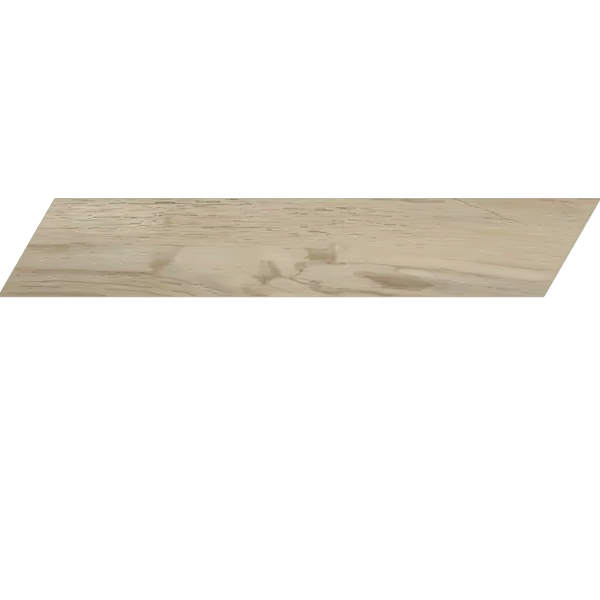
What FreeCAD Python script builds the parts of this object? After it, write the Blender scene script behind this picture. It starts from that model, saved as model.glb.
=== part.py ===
"""One hand of a wood-look chevron tile: a rectified porcelain plank, mitred parallel at both ends.

The tile lies on its back. The origin is the middle of the back, X runs along the long sides,
Y across the plank and Z out of the printed face. Seen from above, the long side at +Y is shifted
towards +X, so the ends lean like a slash. Its mirror image makes the other hand of the pair.

It is modelled in the order in which it is made: the plank is pressed with keying cells in its
back, both ends are sawn off at the mitre, and the arris round the face is ground.
Lengths are in millimetres and angles in degrees.
"""

import FreeCAD, Part
import math
import os
import Sketcher

NODE = "chevron_tile"

# How a sketch's constraints name its own origin
ORIGIN = (-1, 1)

# Driving dimensions: the name in the sheet, the size and what it measures
SIZES = {
    "tile_length": (597, "from tip to tip, along X"),
    "tile_width": (98, "across the long sides"),
    "tile_thickness": (9, "from the ribs of the back to the face"),
    "mitre_angle": (60, "between a long side and a sawn end"),
    "arris_bevel": (0.5, "leg of the ground bevel round the face"),
    "cell_length": (24, "mouth of a keying cell, along X"),
    "cell_width": (12.5, "mouth of a keying cell, along Y"),
    "cell_depth": (0.6, "how far a cell is sunk into the back"),
    "cell_draft": (40, "lean of a cell's walls, from upright"),
    "rib_width": (2.5, "rib left between two cells"),
}

# How far a cell's walls come in from its mouth to its floor
CELL_LEAN = "sizes.cell_depth * tan(sizes.cell_draft)"

# The grid of cells has as many whole pitches as the plank has room for, each way
PITCH_ALONG = "(sizes.cell_length + sizes.rib_width)"
PITCH_ACROSS = "(sizes.cell_width + sizes.rib_width)"
CELLS_ALONG = f"floor(sizes.tile_length / {PITCH_ALONG})"
CELLS_ACROSS = f"floor(sizes.tile_width / {PITCH_ACROSS})"
GRID_LENGTH = f"(({CELLS_ALONG} - 1) * {PITCH_ALONG})"
GRID_WIDTH = f"(({CELLS_ACROSS} - 1) * {PITCH_ACROSS})"


def make_sheet(doc):
    """The spreadsheet of driving dimensions: name, size and meaning, one row each."""
    sheet = doc.addObject("Spreadsheet::Sheet", "sizes")
    for row, (name, (value, meaning)) in enumerate(SIZES.items(), start=1):
        sheet.set(f"A{row}", name)
        sheet.set(f"B{row}", str(value))
        sheet.set(f"C{row}", meaning)
        sheet.setAlias(f"B{row}", name)
    doc.recompute()
    return sheet


def origin_feature(body, role):
    """One of the body's own origin planes or axes."""
    return next(feature for feature in body.Origin.OriginFeatures if feature.Role == role)


def new_sketch(body, name):
    """An empty sketch on the plane of the tile's back."""
    sketch = body.newObject("Sketcher::SketchObject", name)
    sketch.AttachmentSupport = [(origin_feature(body, "XY_Plane"), "")]
    sketch.MapMode = "FlatFace"
    return sketch


def constrain(sketch, *rules):
    """Geometric constraints, each given as its kind and the places that it ties."""
    for rule in rules:
        sketch.addConstraint(Sketcher.Constraint(*rule))


def add_size(sketch, name, kind, places, expression):
    """A dimension that follows the sheet, added at the value that the sheet gives it now."""
    value = float(sketch.evalExpression(expression))
    if kind == "Angle":
        value = math.radians(value)
    index = sketch.addConstraint(Sketcher.Constraint(kind, *places, value))
    sketch.renameConstraint(index, name)
    sketch.setExpression(f"Constraints.{name}", expression)


def draw_polygon(sketch, corners):
    """Closed loop of lines from corner to corner; returns the lines."""
    points = [FreeCAD.Vector(x, y, 0) for x, y in corners]
    lines = [
        sketch.addGeometry(Part.LineSegment(start, end))
        for start, end in zip(points, points[1:] + points[:1])
    ]
    for line, following in zip(lines, lines[1:] + lines[:1]):
        constrain(sketch, ("Coincident", line, 2, following, 1))
    return lines


def check_cut(doc, feature, before):
    """Recomputes, and makes sure that the feature took material away from the one before it."""
    doc.recompute()
    if not feature.Shape.Volume < before.Shape.Volume:
        raise RuntimeError(f"{feature.Name} cuts nothing")


def press_plank(doc, body, sizes):
    """The pressed plank before it is sawn: a rectangle of the tile's full length and width."""
    sketch = new_sketch(body, "plank_outline")
    x = sizes.tile_length / 2
    y = sizes.tile_width / 2
    low, right, high, left = draw_polygon(sketch, [(-x, -y), (x, -y), (x, y), (-x, y)])
    constrain(
        sketch,
        ("Horizontal", low),
        ("Horizontal", high),
        ("Vertical", right),
        ("Vertical", left),
        ("Symmetric", low, 1, high, 1, *ORIGIN),
    )
    add_size(sketch, "plank_length", "DistanceX", (low, 1, low, 2), "sizes.tile_length")
    add_size(sketch, "plank_width", "DistanceY", (right, 1, right, 2), "sizes.tile_width")

    plank = body.newObject("PartDesign::Pad", "plank")
    plank.Profile = sketch
    plank.setExpression("Length", "sizes.tile_thickness")
    doc.recompute()
    return plank


def press_cells(doc, body, plank):
    """Shallow drafted pans in the back, for the adhesive, in a grid centred on the plank."""
    cell = body.newObject("PartDesign::SubtractiveWedge", "cell")
    cell.AttachmentSupport = [(origin_feature(body, "XZ_Plane"), "")]
    cell.MapMode = "FlatFace"
    # The wedge tapers along its own Y, which stands upright here, and its Z runs towards -Y
    cell.setExpression("AttachmentOffset.Base.x", f"-{GRID_LENGTH} / 2")
    cell.setExpression("AttachmentOffset.Base.z", f"{GRID_WIDTH} / 2")
    cell.Ymin = 0
    cell.setExpression("Ymax", "sizes.cell_depth")
    for axis, half in (("X", "sizes.cell_length / 2"), ("Z", "sizes.cell_width / 2")):
        for side, sign in (("min", "-"), ("max", "+")):
            cell.setExpression(f"{axis}{side}", f"{sign}({half})")
            cell.setExpression(f"{axis}2{side}", f"{sign}({half} - {CELL_LEAN})")
    check_cut(doc, cell, plank)

    cells = body.newObject("PartDesign::LinearPattern", "cells")
    cells.Originals = [cell]
    cells.Direction = (origin_feature(body, "X_Axis"), [""])
    cells.setExpression("Length", GRID_LENGTH)
    cells.setExpression("Occurrences", CELLS_ALONG)
    cells.Direction2 = (origin_feature(body, "Y_Axis"), [""])
    cells.setExpression("Length2", GRID_WIDTH)
    cells.setExpression("Occurrences2", CELLS_ACROSS)
    body.Tip = cells
    check_cut(doc, cells, cell)
    return cells


def saw_ends(doc, body, sizes, cells):
    """Saws both ends off at the mitre, parallel to each other, through the plank's own tips."""
    tip_x = -sizes.tile_length / 2
    tip_y = -sizes.tile_width / 2
    overrun = sizes.tile_thickness
    lean = 1 / math.tan(math.radians(sizes.mitre_angle))
    start = (tip_x - overrun * lean, tip_y - overrun)
    end = (tip_x + (sizes.tile_width + overrun) * lean, overrun - tip_y)

    sketch = new_sketch(body, "waste_outline")
    saw_line, top, side = draw_polygon(sketch, [start, end, (start[0], end[1])])
    tip = sketch.addGeometry(Part.Point(FreeCAD.Vector(tip_x, tip_y, 0)), True)
    constrain(
        sketch,
        ("Horizontal", top),
        ("Vertical", side),
        ("PointOnObject", tip, 1, saw_line),
    )
    add_size(sketch, "tip_x", "DistanceX", (tip, 1, *ORIGIN), "sizes.tile_length / 2")
    add_size(sketch, "tip_y", "DistanceY", (tip, 1, *ORIGIN), "sizes.tile_width / 2")
    add_size(sketch, "mitre", "Angle", (saw_line,), "sizes.mitre_angle")
    add_size(sketch, "run_in", "DistanceY", (saw_line, 1, tip, 1), "sizes.tile_thickness")
    add_size(
        sketch,
        "run_out",
        "DistanceY",
        (tip, 1, saw_line, 2),
        "sizes.tile_width + sizes.tile_thickness",
    )

    mitre = body.newObject("PartDesign::Pocket", "mitre")
    mitre.Profile = sketch
    mitre.Reversed = True
    mitre.Type = "ThroughAll"
    check_cut(doc, mitre, cells)

    mitres = body.newObject("PartDesign::PolarPattern", "mitres")
    mitres.Originals = [mitre]
    mitres.Axis = (origin_feature(body, "Z_Axis"), [""])
    mitres.Angle = 360
    mitres.Occurrences = 2
    body.Tip = mitres
    check_cut(doc, mitres, mitre)
    return mitres


def grind_arris(doc, body, sizes, mitres):
    """The fine bevel that is ground all round the printed face."""
    face_edges = [
        f"Edge{number}"
        for number, edge in enumerate(mitres.Shape.Edges, start=1)
        if edge.BoundBox.ZMin > sizes.tile_thickness - sizes.cell_depth
    ]
    arris = body.newObject("PartDesign::Chamfer", "arris")
    arris.Base = (mitres, face_edges)
    arris.setExpression("Size", "sizes.arris_bevel")
    body.Tip = arris
    check_cut(doc, arris, mitres)


def check_document(doc, body):
    """Stops before anything is written if a feature failed or the tile is not one sound solid."""
    for item in doc.Objects:
        if {"Invalid", "Error"} & set(item.State):
            raise RuntimeError(f"{item.Name} failed: {item.State}")
    shape = body.Shape
    if shape.isNull() or not shape.isValid() or len(shape.Solids) != 1:
        raise RuntimeError(f"{body.Label} is not one valid solid")


def main():
    """Builds the tile and writes its solid to parts/."""
    doc = FreeCAD.newDocument(NODE)
    sizes = make_sheet(doc)
    body = doc.addObject("PartDesign::Body", "tile")
    body.Label = NODE
    plank = press_plank(doc, body, sizes)
    cells = press_cells(doc, body, plank)
    mitres = saw_ends(doc, body, sizes, cells)
    grind_arris(doc, body, sizes, mitres)
    check_document(doc, body)
    os.makedirs("parts", exist_ok=True)
    body.Shape.exportStep(f"parts/{body.Label}.step")


main()
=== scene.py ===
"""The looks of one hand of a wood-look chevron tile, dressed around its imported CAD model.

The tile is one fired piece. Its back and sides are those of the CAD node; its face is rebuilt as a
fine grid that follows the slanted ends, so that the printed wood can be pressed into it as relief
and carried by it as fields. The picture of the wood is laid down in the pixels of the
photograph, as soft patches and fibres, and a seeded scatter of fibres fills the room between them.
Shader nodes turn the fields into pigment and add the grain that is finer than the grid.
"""

import math

import bmesh
import bpy
import numpy as np
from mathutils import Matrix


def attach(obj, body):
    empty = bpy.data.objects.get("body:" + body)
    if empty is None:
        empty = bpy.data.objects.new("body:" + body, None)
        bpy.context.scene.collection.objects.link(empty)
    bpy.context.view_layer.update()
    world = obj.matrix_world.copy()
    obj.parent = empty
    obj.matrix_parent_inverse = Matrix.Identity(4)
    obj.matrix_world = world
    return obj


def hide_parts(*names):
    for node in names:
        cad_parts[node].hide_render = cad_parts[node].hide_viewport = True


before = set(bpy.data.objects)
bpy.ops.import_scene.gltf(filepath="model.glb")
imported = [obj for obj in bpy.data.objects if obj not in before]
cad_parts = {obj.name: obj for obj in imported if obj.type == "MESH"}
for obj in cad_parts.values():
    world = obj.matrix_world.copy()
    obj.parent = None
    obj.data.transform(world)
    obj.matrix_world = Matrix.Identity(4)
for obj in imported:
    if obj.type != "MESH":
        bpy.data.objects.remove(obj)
bpy.context.view_layer.update()

MM = 0.001

# The tile, as the CAD model has it
NODE = "chevron_tile"
LENGTH = 597 * MM
WIDTH = 98 * MM
THICKNESS = 9 * MM
ARRIS = 0.5 * MM
MITRE = math.radians(60)

# How far an end runs along for each step across, and half the tile between its slanted axes
LEAN = 1 / math.tan(MITRE)
HALF_ALONG = (LENGTH - WIDTH * LEAN) / 2
HALF_ACROSS = WIDTH / 2

# The same for the flat face inside the arris
FACE_ALONG = HALF_ALONG - ARRIS / math.sin(MITRE)
FACE_ACROSS = HALF_ACROSS - ARRIS

# The photograph: its side, and the tile's centre and width in it, in pixels; and what one spans
PHOTO_SIZE = 600
PHOTO_CENTRE = (299.2, 247.5)
PHOTO_WIDTH = 99.2
PIXEL = WIDTH / PHOTO_WIDTH

# Cells of the face's grid, along it and across it
COLUMNS = 440
ROWS = 198

# Start of the random draws
SEED = 20

# ---- The picture of the wood ----

# Places and reaches are in the photograph's pixels, y downwards. A level is a step of brightness
# out of 255, below zero for darker.

# Lines that the grain follows, from the top edge to the bottom one, as points from left to right
GRAIN_LINES = (
    ((0, 198), (600, 198)),
    ((0, 208), (420, 208), (450, 208.5), (500, 213), (550, 219), (600, 224)),
    ((0, 219), (200, 219), (300, 219.5), (400, 221), (450, 222.5), (500, 226), (550, 231),
     (600, 236)),
    ((0, 228.3), (200, 228), (300, 229), (400, 231.5), (450, 233), (500, 237), (550, 242),
     (600, 247)),
    ((0, 240), (200, 240), (300, 240.5), (400, 244), (450, 246), (500, 249), (550, 253.5),
     (600, 258)),
    ((0, 247), (92, 243.5), (150, 245.5), (205, 246.8), (260, 247.5), (330, 250), (380, 253),
     (440, 258.5), (470, 261), (512, 267), (556, 270), (600, 275)),
    ((0, 260), (100, 258), (200, 258.5), (268, 260), (344, 263.3), (400, 267), (440, 269.5),
     (472, 273.5), (500, 278), (550, 282), (600, 287)),
    ((0, 263), (100, 261), (200, 263), (300, 266), (340, 269), (380, 274), (420, 279), (450, 283),
     (500, 288), (550, 293), (600, 298)),
    ((0, 266), (100, 265), (150, 266), (200, 269), (250, 273.5), (283, 276), (300, 281), (342, 289),
     (390, 296.5), (450, 304), (600, 318)),
    ((0, 270), (84, 271), (116, 272.5), (150, 274), (172, 279), (192, 283.5), (208, 288),
     (224, 292), (260, 302), (340, 315), (600, 345)),
    ((0, 281), (44, 281), (84, 282), (116, 284.5), (150, 287.8), (170, 291), (200, 297), (240, 307),
     (340, 325), (600, 360)),
    ((0, 286.3), (60, 287), (100, 289), (135, 291.5), (160, 295.5), (200, 304), (340, 335),
     (600, 375)),
    ((0, 297), (90, 297.5), (130, 301), (200, 315), (340, 350), (600, 400)),
)

# Washes: centre, reach along and across, turn in degrees, level, redness, yellowness
WASHES = (
    # upper left, pale cream between the fibres
    (80, 212, 80, 14, 0, 8, 0, -3), (190, 214, 110, 15, 0, 7, 0, 0), (330, 212, 90, 16, 0, 1, 0, 1),
    (52, 208.5, 3.5, 6, -62, -7, -3, -11), (45, 223, 5, 4, -60, 2, 6, -5),
    (61, 210, 6, 6, 0, -5, 4, 4), (77, 204, 13, 2, 0, -6, 0, 0), (90, 211, 30, 5, 0, 2, 2, -1),
    (304, 203, 10, 3, 0, 5, 1, 0), (335, 225, 9, 3, 0, 6, 0, 0), (205, 224, 9, 3, 0, -6, 0, 0),
    (129, 211, 10, 6, 0, 2, 0, 6), (80, 221, 28, 5, 0, 1, -3, 2), (172, 222, 8, 4, 0, -7, -1, 3),
    (166, 211, 15, 4.5, 0, -7, 1, 0), (205, 210, 26, 4.5, 0, -2, -1, 2),
    (308, 217, 15, 3.5, 0, -6, 0, 0), (35, 238, 4, 6, -60, -1, -4, -3),
    (262, 211, 18, 6, 0, 0, 3, -2), (315, 201, 16, 2.5, 0, 0, -2, 4), (321, 205, 7, 3, 0, 1, 4, -3),
    (387, 211, 8, 3, 0, 0, 4, -1),
    # middle left, grey-brown
    (70, 236, 30, 6, 0, -2, 1, -1), (64, 236, 6, 4, 0, 0, -3, 1), (30, 280, 130, 24, 0, -18, 0, -3),
    (45, 249, 50, 5, -2, -5, 0, 1), (108, 248, 18, 5, 0, -9, 0, -1),
    (64, 249.5, 8, 2.2, 0, -3, -3, 2), (122, 257, 34, 9, -6, 4, -1, -6),
    (110, 232, 42, 3.2, 2, 7, 0, -1), (143, 231, 11, 3.2, 0, 8, 1, 0),
    (93, 251, 6, 4, 0, -4, -3, 1), (159, 256, 10, 5, 0, -12, 1, 1),
    (107, 277, 12, 4.5, 0, 6, 1, -1), (25, 269, 9, 4, 0, -3, 3, 8), (74, 266, 13, 4, 0, 2, 0, -4),
    # lower left, olive
    (60, 292, 90, 7, 2, -8, -1, 1), (140, 283, 45, 9, 8, -9, 0, 3), (97, 293, 8, 2.5, 0, -3, 5, 5),
    (13, 285, 12, 4, 0, 1, -3, 6), (18, 270, 4, 3, -60, -2, -5, 4), (86, 287, 16, 4, 2, -1, -2, 5),
    (50, 290, 16, 2.5, 0, 0, 3, -1), (40, 294.5, 12, 2, 0, 0, -3, 3),
    (51, 294.5, 5, 2, 0, -2, 4, 0), (47, 286, 18, 5, 0, 0, 3, -3),
    (150, 292, 16, 2.5, 8, -2, -3, 4), (157, 251, 9, 5, 0, -1, -3, 3),
    # centre, a pale flat stretch
    (210, 259, 42, 13, 4, 7, 0, 0), (204, 236, 24, 4, 0, 1, -1, 4),
    (188, 245.5, 14, 2.2, 0, -6, 0, 0), (318, 245, 10, 3, 0, -5, 0, -1),
    (229, 243, 7, 3, 0, 2, 4, -1), (235, 268, 6, 4, 0, -1, -3, 4), (205, 284, 34, 7, 12, -6, 1, -3),
    (162, 286, 12, 4, 8, -1, -3, 4), (188, 289, 9, 5, 20, -7, 1, -1),
    (184, 282, 12, 4, 12, -6, 0, 1), (156, 288, 11, 2.5, 6, 6, 0, -1),
    (239, 283, 13, 8, 0, 4, -2, 3), (199, 292, 9, 3, 8, -4, 0, 1), (228, 292, 22, 6, 6, -4, -1, 0),
    (213, 283, 9, 4, 30, -5, 1, -2), (278, 256, 18, 8, 15, 13, 0, 1), (293, 243, 40, 8, 0, 3, 0, 1),
    (252, 291, 22, 6, 4, -10, 1, 3), (263, 289, 9, 4, 0, -3, 0, 1), (238, 280, 9, 4, 0, 6, 0, -1),
    (299, 273, 6, 3, 0, -9, 0, 3), (300, 294, 12, 2, 0, -1, -3, 3), (332, 281, 8, 4, 0, 0, -3, 4),
    (350, 282, 8, 4, 0, 0, -1, 4), (292, 270, 16, 7, 0, 4, 0, 0),
    # right, cream above the long sloping lines
    (420, 243, 110, 14, 4, 6, 0, 1), (430, 258, 80, 9, 3, 7, 0, 2), (350, 272, 30, 8, 0, 6, 0, 0),
    (352, 256, 14, 4, 0, 4, 0, 0), (446, 277, 14, 3.5, 8, 3, 1, -4), (465, 254, 24, 4, 2, -5, 0, 1),
    (470, 283, 12, 3.2, 8, 7, 0, 0), (419, 236, 8, 4, 0, 0, -1, 4), (380, 259, 10, 3, 0, 5, 0, 0),
    (540, 231, 14, 3.5, 4, 6, 0, 0), (381, 288, 8, 2.5, 4, -5, 0, 1), (470, 228, 80, 7, 3, 2, 0, 1),
    (540, 252, 60, 18, 6, 3, 0, 1), (530, 274, 50, 5, 6, 5, 1, -1),
    # strips where the print is paler or darker
    (175, 201, 26, 3, 0, -13, 0, 0), (335, 200, 34, 3, 0, 12, -2, 2),
    (580, 202, 18, 5, 0, -5, 2, 0), (98, 224, 18, 4, 0, 7, -3, 1), (100, 214, 16, 3, 0, -5, 1, 3),
    (174, 223, 13, 5, 0, -7, 0, 0), (258, 233, 20, 6, 0, 4, 0, 0), (572, 236, 12, 10, 0, 4, 0, 1),
    # patches of another tint
    (402, 206, 7, 5, 0, 0, -2, 4), (418, 212, 8, 9, 0, -4, 2, -1), (434, 207, 9, 5, 0, -2, 3, -1),
    (438, 218, 6, 5, 0, -3, -2, 2), (362, 205, 4, 4, 0, 2, -1, 4), (345, 202, 12, 3, 0, 0, -2, 3),
    (156, 237, 6, 5, 0, 0, -2, 4),
    # lower right, grey
    (500, 289, 75, 8, 4, -10, 0, -7), (458, 288, 26, 9, 4, -8, 1, -4),
    (476, 289, 6, 8, 0, 4, -5, 9), (462, 280, 14, 3.5, 0, 6, 1, -1),
    (350, 294, 60, 4, 2, -8, -1, 3), (536, 292, 13, 4, 0, -4, -5, 0),
    # upper right, olive-brown with a redder corner
    (515, 203, 50, 7, 2, -9, -1, 7), (500, 207, 20, 4, 2, -3, 0, 3),
    (571, 211, 14, 5, 10, -9, 1, 0), (558, 201, 28, 3, 3, -3, 5, 3), (591, 204, 6, 3, 10, 0, 7, 3),
    (475, 220, 35, 4, 4, -9, 0, -5), (503, 218, 10, 3, 20, -5, -1, 2),
    (500, 233, 32, 4, 0, -2, -2, 5), (450, 238, 160, 35, 0, 1, 0, 2),
    (200, 226, 60, 14, 0, -3, 0, 2),
)

# Soft-edged patches, the knots among them: outline, softness, level, redness, yellowness
PATCHES = (
    # the dark band on the left, and the brown one under it
    (((27, 245), (54, 244.6), (68, 244.5), (70, 252), (56, 252.4), (45, 252), (30, 250)),
     1.4, -10, 1, 0),
    (((55, 244.6), (68, 244.6), (68, 252), (56, 252)), 1.6, -2, -3, 3),
    (((68, 243), (92, 242), (98, 247), (84, 250.5), (67, 251)), 2.5, -5, 1, 0),
    (((34, 270), (84, 270), (104, 271.4), (152, 272), (154, 275.8), (110, 275.5), (84, 275),
      (36, 274.6)), 1.0, -8, 0, 1),
    # the stripe along the bottom edge
    (((-4, 292.3), (60, 292.3), (86, 292.8), (106, 295), (106, 297.5), (-4, 297.5)),
     0.8, -11, 1, 0),
    # a smudge where a branch begins
    (((147, 264), (155, 259), (168, 259.5), (171, 262), (169, 266), (162, 268), (150, 268.5)),
     2.5, -15, 0, 3),
    (((156, 260), (167, 260.5), (169, 264.5), (160, 265.5), (154, 264)), 1.8, -9, -1, 2),
    (((151, 265), (163, 265), (164, 270), (160, 276), (151, 275)), 2.6, -13, 1, 6),
    (((152, 268), (157, 268), (158, 273.5), (153, 273.5)), 1.6, -6, 1, 3),
    (((164, 260), (166, 252), (173, 247), (184, 246), (181, 250), (176, 256), (172, 262)),
     2.2, -11, 2, -3),
    (((168, 262), (170, 256), (175, 253), (176, 258), (172, 263)), 1.5, -5, 0, 0),
    (((165, 266), (176, 264.5), (183, 270), (176, 274), (165, 273)), 3.0, -10, -3, -4),
    (((177, 253), (181, 250.5), (181, 262), (177, 262)), 1.5, 5, 1, -1),
    (((164, 219), (170, 218.5), (171, 226), (163, 226)), 1.8, -15, -2, 5),
    (((172, 220), (176, 220), (176, 225), (172, 225)), 0.8, 5, -2, 4),
    # a grey slope that runs down from it
    (((196, 274.5), (212, 275.5), (219, 282), (232, 290), (238, 296), (218, 295), (203, 287),
      (194, 279)), 1.8, -7, 0, -2),
    # a reddish streak across the grain
    (((324.5, 200), (327, 200), (326.6, 204), (325.4, 208), (323.6, 208)), 0.8, -6, 5, 0),
    # a comma-shaped knot
    (((268, 260.5), (272, 262), (276, 266), (280.5, 270), (282, 276), (281, 278.5), (272, 279.5),
      (268, 284.5), (261, 285), (258, 280), (252.5, 277), (253, 275.3), (261, 275), (270, 274),
      (270, 270), (268.5, 266), (267, 262)), 1.4, -22, 0, 1),
    (((260, 261.5), (268, 262), (270, 272), (266, 274.5), (258, 274.5), (259, 267)),
     2.4, -10, 0, 0),
    (((271, 267), (279, 270), (282, 277), (273, 278)), 1.8, -7, 0, 1),
    (((262, 276.5), (268, 276.5), (267, 284.5), (262, 284)), 1.4, -5, 0, 1),
    (((254, 276), (272.5, 276.5), (272.5, 280.5), (267, 281), (266.5, 284.5), (261, 284),
      (258, 280)), 0.9, -7, 0, 0),
    # a broken knot, and the beak under it
    (((304, 247.3), (312, 248.3), (328, 248.8), (328, 250.5), (313, 250.6), (312, 252.3),
      (328, 252.5), (336, 253.5), (336, 261), (330, 263), (323, 263.3), (318, 262), (308, 260),
      (308.5, 258.8), (304, 257.8), (308, 255), (308, 251), (304, 249.5)), 1.0, -21, -0.5, 4),
    (((311, 250), (324, 250.2), (328, 251.6), (328, 252.6), (311, 252.6)), 0.6, -10, -1, 5),
    (((308.5, 253.8), (328, 254), (331, 259), (319, 260.8), (308, 260)), 1.2, -11, -1, 4),
    (((323, 258.5), (330, 258.5), (329, 264), (323, 264)), 1.3, -5, 5, 0),
    (((329, 243), (335, 243), (336, 253), (329, 253)), 1.8, -14, 0, 0),
    (((331, 252), (338, 252.5), (337, 257), (335, 261.5), (330, 261.5)), 1.2, -9, 0, -2),
    (((293, 266.5), (296.5, 262.2), (305.5, 262.2), (304.5, 268), (303, 272), (300, 271.5),
      (297, 269.5)), 1.0, -22, -1, 7),
    (((303, 262), (314, 262), (330, 262.8), (328, 265), (310, 266), (304, 269)), 1.6, -12, 0, 2),
    (((339, 243), (347, 244), (350, 250), (343, 250.5)), 2.5, -7, 0, -2),
    (((307, 265), (325, 265), (324, 275), (308, 275)), 3.0, 2, 1, -4),
    # a feathered dark figure with a tail, and the light wedge over it
    (((354, 272), (366, 271), (372, 272.5), (380, 274), (396, 275.3), (416, 276.5), (424, 280),
      (435, 285.5), (426, 288), (420, 291), (411, 290.8), (404, 289.6), (392, 289), (383, 287.5),
      (377, 282), (368, 279), (361, 277.8), (355, 277)), 1.6, -19, 0, 2),
    (((364, 276), (390, 276.8), (408, 279.5), (424, 283.5), (433, 286), (418, 289), (396, 287.5),
      (380, 283), (370, 279.5)), 2.0, -13, 1.5, 2),
    (((366, 277), (390, 278), (390, 283), (380, 282.6), (372, 280.6)), 1.2, -3, 1, 2),
    (((384, 282), (404, 284), (410, 286.5), (404, 289), (392, 288.6), (384, 287.6)),
     1.5, -8, 0.5, 1),
    (((370, 280), (386, 282), (387, 288), (372, 287)), 1.8, -5, 2, -1),
    (((428, 281), (448, 281.5), (449, 291), (436, 292), (424, 289)), 2.6, -8, 0, 6),
    (((424, 276), (432, 276.5), (432, 280), (425, 279.5)), 1.5, -5, -2, 2),
    (((398, 269.3), (406, 269.2), (424, 271), (433, 274), (434, 278.4), (428, 278.4), (420, 276),
      (404, 273.8)), 1.0, 12, 1, -2),
    (((394.5, 268), (399, 268), (399, 273), (395, 272.5)), 1.2, -8, 1, -5),
    (((434, 272), (450, 273.5), (451, 280), (436, 279.8)), 2.6, 3, 1, 0),
    (((472, 273), (482, 272.8), (490, 276), (490, 279), (478, 278)), 2.0, -7, 2, 0),
    # dark slopes at the bottom, and a light one beside them
    (((242, 286), (251, 286), (252, 291), (262, 294), (268, 296.5), (250, 296.5), (243, 293)),
     1.5, -9, 0, 2),
    (((340, 288.4), (352, 289), (362, 289.8), (374, 291), (384, 293.4), (400, 295), (400, 297.5),
      (378, 296), (370, 293.8), (356, 293), (342, 292)), 1.3, -11, 0, 1),
    (((309, 280.5), (320, 282), (320.5, 288), (309, 288.5)), 1.2, -22, 2, -3),
    (((316, 280.2), (324, 280.4), (324, 284.2), (316, 284.6)), 0.7, -9, 1, -2),
    (((308, 287.5), (320, 288.5), (330, 290), (342, 290.5), (343, 293), (335, 294.7), (324, 294),
      (320, 292.3), (310, 289.7)), 1.2, -22, 0, 2),
    (((330, 280), (345, 280.5), (366, 284), (372, 287.5), (345, 286)), 2.0, 4, 0, -1),
)

# Bands along a line, such as where one growth layer ends: points, reach above and below the line,
# level, redness, yellowness
BANDS = (
    (((22, 245.4), (34, 244.8), (54, 244.6), (70, 244.8), (84, 243), (98, 242)),
     0.7, 4.8, -12, 0, 1),
    (((26, 246), (56, 245.8)), 1.0, 1.8, -7, 2, 0),
    (((12, 270.5), (34, 269.6), (76, 269.4), (84, 270), (100, 270.8), (120, 271.3), (152, 271.8),
      (158, 273)), 0.7, 4.2, -11, 1, 1),
    (((96, 271.8), (152, 273)), 1.2, 1.5, -7, 0, 0),
    (((-2, 292.6), (60, 292.6), (88, 293.4), (106, 295.5)), 0.6, 3.2, -7, 1, -1),
    (((100, 292.5), (140, 293.5), (165, 296)), 1.5, 1.6, -8, -2, 3),
    (((60, 288.8), (100, 291), (140, 294.2)), 1.0, 1.5, 4, -1, 2),
    (((20, 281.5), (84, 282.2), (118, 284.3), (160, 288.5)), 0.6, 2.2, -4, 0, 0),
    (((146, 276.2), (164, 276.6), (176, 278.4), (186, 281)), 0.8, 3.5, -8, 0, 2),
    (((165, 288), (180, 290.5), (196, 295)), 0.8, 2.0, -7, 0, 1),
    (((140, 291.8), (153, 293.6), (160, 294.6), (176, 296)), 0.8, 1.2, -8, -1, 2),
    (((385, 259), (400, 260), (440, 263.5), (470, 268), (510, 274), (550, 277)), 3.5, 4.0, 7, 0, 0),
    (((470, 261.5), (492, 264.4), (512, 267.2), (535, 269.5), (556, 271)), 4.0, 0.8, -7, 0, 1),
    (((388, 266.2), (410, 267.4), (440, 270.2), (450, 271.5)), 1.1, 2.4, -13, -2, 1),
    (((436, 268.5), (455, 271), (473, 274), (484, 275.3), (500, 277), (509, 278.2), (522, 280.3),
      (536, 281.2), (556, 280.6)), 0.8, 3.6, -8, 0, -1),
    (((336, 289.4), (350, 291), (360, 291.6), (376, 293.2), (386, 294.8)), 1.6, 1.4, -11, 0, 1),
    (((398, 199.5), (410, 201.3), (444, 201.3)), 0.8, 1.0, -8, 2, 2),
    (((338, 199), (402, 199.6)), 1.0, 1.0, -6, -2, 3),
    (((266, 295), (328, 295.4)), 2.0, 2.0, 7, -1, -2),
    (((338, 296.4), (380, 296.8)), 1.2, 1.0, 10, -1, -3),
)

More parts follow.
